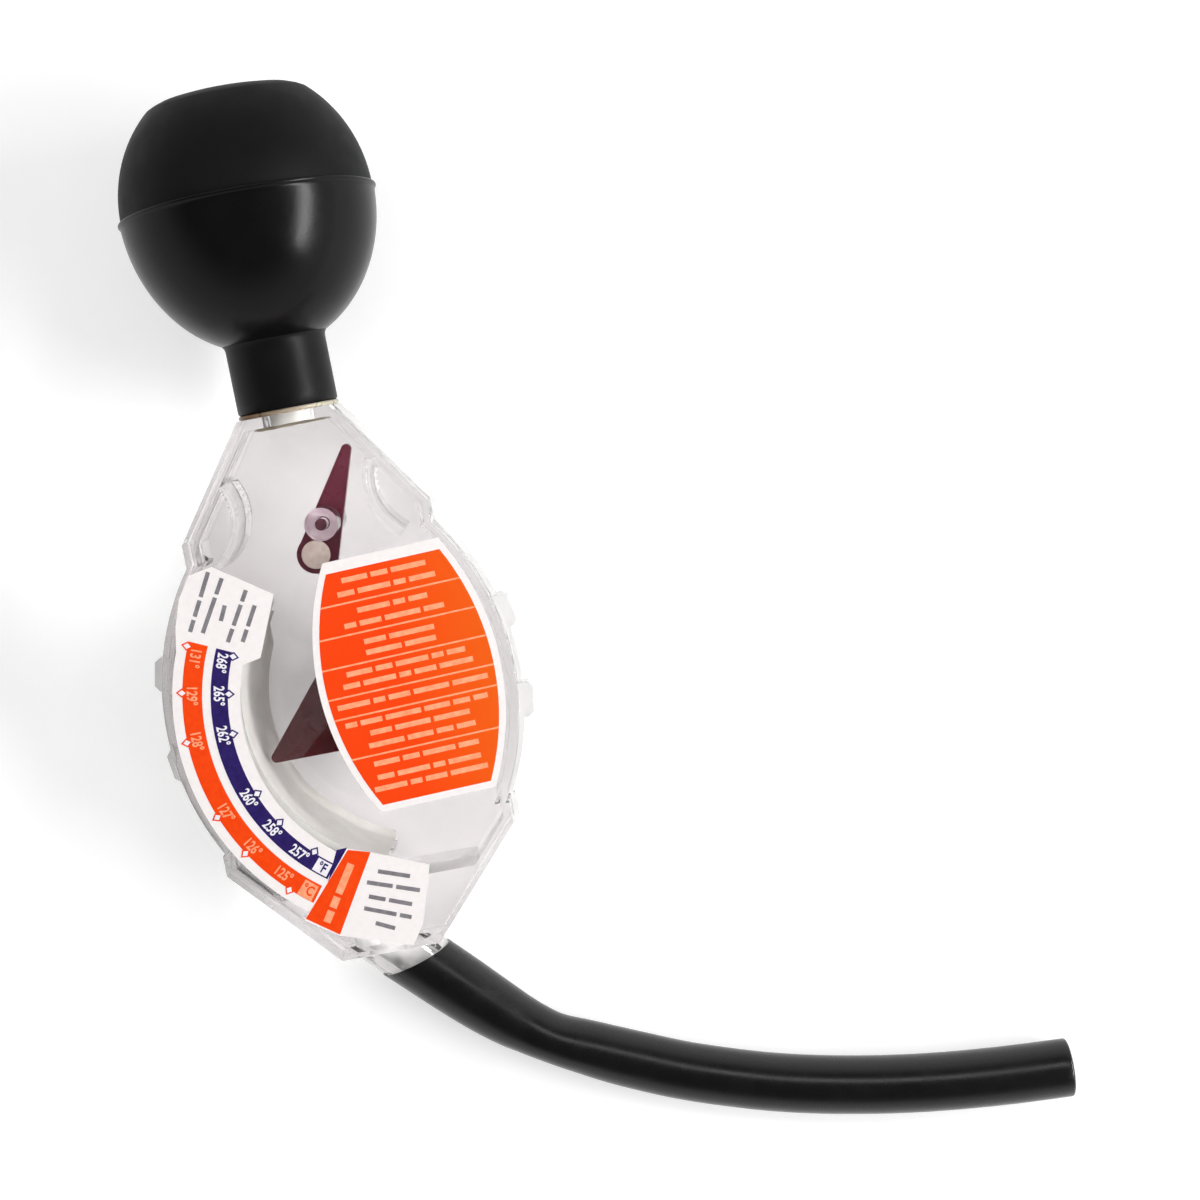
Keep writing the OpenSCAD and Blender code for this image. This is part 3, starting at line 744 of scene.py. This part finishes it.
def dial_wall_face():
    """The dull inner face of the wall around the dial, with the round that joins it to the back."""
    (start, end), (low, high) = DIAL_WALL_ENDS, DIAL_WALL_Z
    foot_steps, steps = 6, 70
    profile = [(DIAL_WALL_R + DIAL_WALL_T, high), (DIAL_WALL_R, high)]
    for i in range(foot_steps + 1):
        turn = math.pi / 2 * i / foot_steps
        inward = DIAL_WALL_FOOT * (1 - math.cos(turn))
        profile.append((DIAL_WALL_R - inward, low + DIAL_WALL_FOOT * (1 - math.sin(turn))))
    outline = profile + shifted(profile, DIAL_WALL_SKIN)[::-1]
    shape = bmesh.new()
    loops = []
    for i in range(steps + 1):
        angle = math.radians(180 + start + (end - start) * i / steps)
        c, s = math.cos(angle), math.sin(angle)
        loops.append([shape.verts.new(laid(DIAL.x + r * c, DIAL.y + r * s, z)) for r, z in outline])
    skin(shape, loops)
    for ring in (loops[0], loops[-1]):
        for i in range(len(profile) - 1):
            shape.faces.new((ring[i], ring[i + 1], ring[-i - 2], ring[-i - 1]))
    mesh = finished(shape, "dial_wall_face", SMOOTH_BELOW)
    add_piece("dial_wall_face", mesh, "casing", [MATTE])


def level_boss_end():
    """The frosted ring at the end of the boss that holds the level pointer's pin."""
    (inner, outer), (low, high), (inset, rise) = BOSS_END_R, BOSS_END_Z, BOSS_END_ROUND
    profile = [(inner, low), (outer - inset, low), (outer, low + rise), (outer, high), (inner, high)]
    shape = bmesh.new()
    loops = []
    for i in range(RING_SIDES):
        angle = 2 * math.pi * i / RING_SIDES
        c, s = math.cos(angle), math.sin(angle)
        points = [laid(LEVEL_PIN[0] + r * c, LEVEL_PIN[1] + r * s, z) for r, z in profile]
        loops.append([shape.verts.new(point) for point in points])
    skin(shape, loops + loops[:1])
    mesh = finished(shape, "level_boss_end", SMOOTH_BELOW)
    add_piece("level_boss_end", mesh, "casing", [FROSTED])


cement_line()
bore_wall()
dial_wall_face()
level_boss_end()

for node in ("instruction_label", "front_scale_label", "rear_scale_label"):
    label = frame["nodes"][node]
    for label_slot in label.material_slots:
        label_slot.material = PAPER

# Printing
FRONT_FACE = LAY @ Matrix.Translation((0, 0, (FACE_Z + LABEL_T) * MM))
REAR_FACE = LAY @ TURN_BACK @ Matrix.Translation((0, 0, FACE_Z * MM))


def printed(name, shapes, ink, face=FRONT_FACE, layer=0):
    """Thin print on a face of the casing: outlines or meshes in the face's millimetres."""
    low, high = layer * PRINT_T, (layer + 1) * PRINT_T
    shape = bmesh.new()
    for outline in shapes:
        if isinstance(outline, bpy.types.Mesh):
            start = len(shape.verts)
            shape.from_mesh(outline)
            shape.verts.ensure_lookup_table()
            for vert in shape.verts[start:]:
                vert.co.z = low + (vert.co.z > 0) * (high - low)
            continue
        bottom = [shape.verts.new((x, y, low)) for x, y in outline]
        top = [shape.verts.new((x, y, high)) for x, y in outline]
        shape.faces.new(bottom[::-1])
        shape.faces.new(top)
        for i in range(len(outline)):
            j = (i + 1) % len(outline)
            shape.faces.new((bottom[i], bottom[j], top[j], top[i]))
    bmesh.ops.recalc_face_normals(shape, faces=shape.faces)
    mesh = bpy.data.meshes.new(name)
    shape.to_mesh(mesh)
    shape.free()
    mesh.transform(face @ Matrix.Scale(MM, 4))
    return add_piece(name, mesh, "casing", [ink])


def placed(outline, centre, turn=0):
    """An outline turned by degrees and moved to a centre."""
    c, s = math.cos(math.radians(turn)), math.sin(math.radians(turn))
    return [(centre[0] + c * x - s * y, centre[1] + s * x + c * y) for x, y in outline]


def bar(start, end, width):
    """A straight printed bar between two points."""
    a, b = Vector(start), Vector(end)
    way = (b - a).normalized()
    off = Vector((-way.y, way.x)) * width / 2
    return [tuple(p) for p in (a - off, b - off, b + off, a + off)]


WORD_LENGTHS = (5.2, 3.4, 6.6, 2.4, 4.4, 7.2)
WORD_GAP = 0.7
SHORTEST_WORD = 2.4


def words(start, end, width, first=0):
    """Bars of uneven lengths that stand for a row of words."""
    a, b = Vector(start), Vector(end)
    way = (b - a).normalized()
    at, total, count, bars = 0, (b - a).length, first, []
    while at < total:
        length = WORD_LENGTHS[count % len(WORD_LENGTHS)]
        stop = total if total - at - length < SHORTEST_WORD else at + length
        bars.append(bar(a + way * at, a + way * stop, width))
        at = stop + WORD_GAP
        count += 1
    return bars


FIGURE_NARROW = 0.72
FIGURE_SHARE = 0.7
FIGURE_BOLD = 0.035
FIGURE_DEPTH = 0.01
FIGURE_STEPS = 3


def digits(text, centre, turn, height):
    """Figures as a thin mesh, turned by degrees about their centre."""
    curve = bpy.data.curves.new("figures", "FONT")
    curve.body = text
    curve.size = height / FIGURE_SHARE
    curve.align_x = "CENTER"
    curve.offset = FIGURE_BOLD * height
    curve.extrude = FIGURE_DEPTH
    curve.resolution_u = FIGURE_STEPS
    holder = bpy.data.objects.new("figures", curve)
    bpy.context.scene.collection.objects.link(holder)
    bpy.context.view_layer.update()
    mesh = settled(holder)
    bpy.data.objects.remove(holder)
    mesh.transform(Matrix.Diagonal((FIGURE_NARROW, 1, 1, 1)) @ Matrix.Translation((0, -height / 2, 0)))
    mesh.transform(Matrix.Translation((*centre, 0)) @ Matrix.Rotation(math.radians(turn), 4, "Z"))
    return mesh


# Instruction label
NOTE_AT = (14.5, -55.6)
NOTE_TURN = 2
NOTE_HALF_W = 18.3
NOTE_END_HALF_W = 11.7
NOTE_HALF_H = 25.6
NOTE_R = (NOTE_HALF_H ** 2 + (NOTE_HALF_W - NOTE_END_HALF_W) ** 2) / (2 * (NOTE_HALF_W - NOTE_END_HALF_W))
NOTE_BORDER = 1.4
NOTE_TOP = 23.3
NOTE_FOOT = -24.2
NOTE_LINES = (16.9, 10.6, 4.6, -1.4, -5.6, -14)
NOTE_LINE_W = 0.35
NOTE_WORD_H = 1.05
# Height, left end and right end of each row of words
NOTE_ROWS = (
    (21.4, -8.8, 8.2), (18.8, -10.2, 9.6), (15, -7.1, 7.1), (12.4, -10.3, 9.9), (8.6, -7.2, 7),
    (6.4, -7.3, 6.9), (2.9, -12.1, 12), (0.6, -13.3, 13.1), (-3.3, -15.4, 15.2), (-7.1, -14.7, 14.3),
    (-9.5, -10.2, 10.1), (-12, -11, 10.7), (-15.8, -10.9, 10.5), (-18.6, -10.8, 10.3), (-20.9, -11.9, 11.2),
)


def note_half_width(height):
    return NOTE_HALF_W - NOTE_R + math.sqrt(NOTE_R ** 2 - height ** 2) - NOTE_BORDER


def instruction_print():
    steps = 24
    heights = [NOTE_FOOT + (NOTE_TOP - NOTE_FOOT) * i / steps for i in range(steps + 1)]
    right = [(note_half_width(v), v) for v in heights]
    left = [(-note_half_width(v), v) for v in heights[::-1]]
    printed("instruction_orange", [placed(right + left, NOTE_AT, NOTE_TURN)], FADED)
    pale = []
    for v in NOTE_LINES:
        reach = note_half_width(v)
        pale.append(bar((-reach, v), (reach, v), NOTE_LINE_W))
    for count, (v, start, end) in enumerate(NOTE_ROWS):
        pale += words((start, v), (end, v), NOTE_WORD_H, count)
    pale = [placed(outline, NOTE_AT, NOTE_TURN) for outline in pale]
    printed("instruction_rows", pale, PALE, layer=1)


instruction_print()

# Scale label
SCALE_AT = (15, -60.3)
NAVY_BAND = (37.4, 40.8)
ORANGE_BAND = (42.5, 46.4)
BAND_FROM = -25
NAVY_TO = 53
ORANGE_TO = 52.5
TICKS = (-23.8, -12.1, 0.3, 20.3, 31.6, 45.7)
BOILING_F = (268, 265, 262, 260, 258, 257)
BOILING_C = (131, 129, 128, 127, 126, 125)
NAVY_MARK_R = NAVY_BAND[0] - 0.2
ORANGE_MARK_R = ORANGE_BAND[1] + 0.1
# Half the length and half the width of a mark
MARK = (1.2, 0.95)
MARK_HOLLOW = (0.75, 0.6)
F_BOX = (NAVY_BAND[0] + 0.3, NAVY_BAND[1] - 0.3)
F_BOX_ENDS = (47.8, 52.4)
F_AT = 50.1
C_BOX = (ORANGE_BAND[0] + 0.4, ORANGE_BAND[1] - 0.1)
C_BOX_ENDS = (47.8, 51.8)
C_AT = 49.8
UNIT_H = 2
ARC_STEP = 1.5
ROW_WORD_H = 0.85
FLAG_WORD_H = 1.5
FLAG_FIRST_WORD = 2
FIGURE_H = 2.05
FIGURE_PAST_TICK = (2.6, 0.6, 0, 0, 0, -3.5)
HEAD_ROWS = (
    ((-35.5, 32.4), (-41.4, 21.4)), ((-33.1, 30.7), (-39, 20.7)), ((-33.6, 25.3), (-35, 22.4)),
    ((-28.9, 27.5), (-34.5, 18)), ((-27.8, 24.2), (-31.6, 17.5)),
)
FOOT_ROWS = (
    ((-14.3, -32.9), (-8.2, -35.1)), ((-16.9, -34.7), (-6.8, -38.3)), ((-17.1, -37.6), (-8.9, -40.8)),
    ((-18.5, -39.8), (-9.5, -43.4)), ((-16.8, -43.2), (-13.2, -45)),
)
FLAG = ((-19.4, -27.5), (-15, -28.8), (-24.3, -44.2), (-30.4, -39.7))
NAVY_TAIL = ((-21.6, -27.1), (-19.4, -27), (-24.6, -33.2))
FLAG_ROW = ((-19.3, -30.4), (-26.4, -41.2))


def polar(radius, angle):
    """A point about the scale's centre; angles are degrees below the crosswise line on the left."""
    turn = math.radians(angle)
    return (-radius * math.cos(turn), -radius * math.sin(turn))


def arc_band(radii, start, end):
    steps = max(2, round((end - start) / ARC_STEP))
    angles = [start + (end - start) * i / steps for i in range(steps + 1)]
    return [polar(radii[0], a) for a in angles] + [polar(radii[1], a) for a in angles[::-1]]


def diamond(radius, angle, half_length, half_width):
    spread = math.degrees(half_width / radius)
    return [
        polar(radius - half_length, angle), polar(radius, angle + spread),
        polar(radius + half_length, angle), polar(radius, angle - spread),
    ]


def about_scale(outlines):
    return [placed(outline, SCALE_AT) for outline in outlines]


def figures(text, radius, angle, height):
    """Figures that run down the scale with their tops towards its centre."""
    x, y = polar(radius, angle)
    return digits(text, (SCALE_AT[0] + x, SCALE_AT[1] + y), angle - 90, height)


def scale_print():
    navy_mid, orange_mid = sum(NAVY_BAND) / 2, sum(ORANGE_BAND) / 2
    navy = [arc_band(NAVY_BAND, BAND_FROM, NAVY_TO), NAVY_TAIL]
    orange = [arc_band(ORANGE_BAND, BAND_FROM, ORANGE_TO), FLAG]
    printed("scale_navy", about_scale(navy), NAVY)
    printed("scale_orange", about_scale(orange), ORANGE)
    navy_marks = [diamond(NAVY_MARK_R, tick, *MARK) for tick in TICKS]
    orange_marks = [diamond(ORANGE_MARK_R, tick, *MARK) for tick in TICKS]
    printed("scale_navy_marks", about_scale(navy_marks), NAVY, layer=1)
    printed("scale_orange_marks", about_scale(orange_marks), ORANGE, layer=1)
    white = [diamond(NAVY_MARK_R, tick, *MARK_HOLLOW) for tick in TICKS]
    white += [diamond(ORANGE_MARK_R, tick, *MARK_HOLLOW) for tick in TICKS]
    white = about_scale(white + [arc_band(F_BOX, *F_BOX_ENDS)])
    places = [tick + past for tick, past in zip(TICKS, FIGURE_PAST_TICK)]
    white += [figures(f"{value}°", navy_mid, place, FIGURE_H) for value, place in zip(BOILING_F, places)]
    printed("scale_white", white, WHITE, layer=2)
    pale = about_scale([arc_band(C_BOX, *C_BOX_ENDS)] + words(*FLAG_ROW, FLAG_WORD_H, FLAG_FIRST_WORD))
    pale += [figures(f"{value}°", orange_mid, place, FIGURE_H) for value, place in zip(BOILING_C, places)]
    printed("scale_pale", pale, PALE, layer=2)
    printed("scale_unit_f", [figures("°F", navy_mid, F_AT, UNIT_H)], NAVY, layer=3)
    printed("scale_unit_c", [figures("°C", orange_mid, C_AT, UNIT_H)], ORANGE, layer=3)
    rows = [words(*row, ROW_WORD_H, count) for count, row in enumerate(HEAD_ROWS + FOOT_ROWS)]
    grey = [outline for row in rows for outline in row]
    printed("scale_rows", about_scale(grey), GREY)


scale_print()

# Rear scale
FREEZING_F = ("30°", "20°", "10°", "0°", "-10°", "-20°", "-40°")
REAR_BAND_ENDS = (-37, 27)
REAR_FROM = -24
REAR_STEP = 8


def rear_scale_print():
    def mirrored(outlines):
        return [[(-x, y) for x, y in outline][::-1] for outline in outlines]
    navy = mirrored(about_scale([arc_band(NAVY_BAND, *REAR_BAND_ENDS)]))
    orange = mirrored(about_scale([arc_band(ORANGE_BAND, *REAR_BAND_ENDS)]))
    printed("rear_scale_navy", navy, NAVY, REAR_FACE)
    printed("rear_scale_orange", orange, ORANGE, REAR_FACE)
    white = []
    for count, text in enumerate(FREEZING_F):
        angle = REAR_FROM + REAR_STEP * count
        x, y = polar(sum(NAVY_BAND) / 2, angle)
        white.append(digits(text, (-SCALE_AT[0] - x, SCALE_AT[1] + y), 90 - angle, FIGURE_H))
    printed("rear_scale_figures", white, WHITE, REAR_FACE, layer=1)


rear_scale_print()

# Floor and light
FLOOR_HALF = 3
FLOOR_DROP = 0.0001
FLOOR_GLOW = 0.5
FLOOR_FADE = (0.45, 1.2)
KEY_AT = (0.8, -0.2, 0.52)
KEY_SIZE = (0.7, 0.14)
KEY_POWER = 9.3
FILL_AT = (-0.55, 0.3, 0.95)
FILL_SIZE = (1, 1)
FILL_POWER = 3.6
STRIP_AT = (0.05, 0.25, 0.72)
STRIP_SIZE = (1, 0.15)
STRIP_POWER = 1.4
SKY = 0.6
CEILING = 0.12
CEILING_FADE = (0.25, 0.65)


def seen_directly(nodes, links):
    """One for rays that come from the camera, straight or by a reflection or through glass."""
    path = nodes.new("ShaderNodeLightPath")
    total = path.outputs["Is Camera Ray"]
    for name in ("Is Glossy Ray", "Is Transmission Ray"):
        add = nodes.new("ShaderNodeMath")
        add.operation = "MAXIMUM"
        links.new(total, add.inputs[0])
        links.new(path.outputs[name], add.inputs[1])
        total = add.outputs["Value"]
    return total


def make_floor():
    """A pale floor that takes the object's shadow and turns white to the eye further off."""
    shape = bmesh.new()
    bmesh.ops.create_grid(shape, x_segments=1, y_segments=1, size=FLOOR_HALF)
    mesh = bpy.data.meshes.new("floor")
    shape.to_mesh(mesh)
    shape.free()
    floor = bpy.data.objects.new("floor", mesh)
    floor.location.z = cad_low.z - FLOOR_DROP
    bpy.context.scene.collection.objects.link(floor)
    look = Look("floor")
    look.set(Roughness=0.9, Specular_IOR_Level=0.1)
    look.colour(look.noise(0.02), srgb(206, 206, 206), srgb(212, 212, 212))
    look.set(Emission_Color=(1, 1, 1, 1))
    glow = look.tree.nodes.new("ShaderNodeMath")
    glow.operation = "MULTIPLY"
    look.link(seen_directly(look.tree.nodes, look.tree.links), glow.inputs[0])
    look.link(look.away(FLOOR_FADE, FLOOR_GLOW, 1), glow.inputs[1])
    look.link(glow.outputs["Value"], look.shader.inputs["Emission Strength"])
    mesh.materials.append(look.material)


def make_sky():
    """A sky that is pale all round and dimmer overhead, and at full strength only to the eye."""
    world = bpy.data.worlds.new("sky")
    bpy.context.scene.world = world
    world.use_nodes = True
    nodes, links = world.node_tree.nodes, world.node_tree.links
    strength = nodes.new("ShaderNodeMapRange")
    strength.inputs["To Min"].default_value = SKY
    strength.inputs["To Max"].default_value = 1
    links.new(seen_directly(nodes, links), strength.inputs["Value"])
    links.new(strength.outputs["Result"], nodes["Background"].inputs["Strength"])
    place = nodes.new("ShaderNodeTexCoord")
    height = nodes.new("ShaderNodeSeparateXYZ")
    shade = nodes.new("ShaderNodeValToRGB")
    for stop, place_up, level in zip(shade.color_ramp.elements, CEILING_FADE, (1, CEILING)):
        stop.position = place_up
        stop.color = (level, level, level, 1)
    links.new(place.outputs["Generated"], height.inputs["Vector"])
    links.new(height.outputs["Z"], shade.inputs["Fac"])
    links.new(shade.outputs["Color"], nodes["Background"].inputs["Color"])


def softbox(name, place, size, power):
    data = bpy.data.lights.new(name, "AREA")
    data.shape = "RECTANGLE"
    data.size, data.size_y = size
    data.energy = power
    lamp = bpy.data.objects.new(name, data)
    lamp.location = place
    lamp.rotation_euler = (-Vector(place)).to_track_quat("-Z", "Y").to_euler()
    bpy.context.scene.collection.objects.link(lamp)
    return lamp


make_floor()
make_sky()
key = softbox("key", KEY_AT, KEY_SIZE, KEY_POWER)
strip = softbox("strip", STRIP_AT, STRIP_SIZE, STRIP_POWER)
fill = softbox("fill", FILL_AT, FILL_SIZE, FILL_POWER)
# The key and strip lamps aren't seen through clear plastic, and the fill lamp isn't seen in reflections.
key.visible_transmission = False
strip.visible_transmission = False
fill.visible_glossy = False
bpy.context.scene.view_settings.view_transform = "Standard"
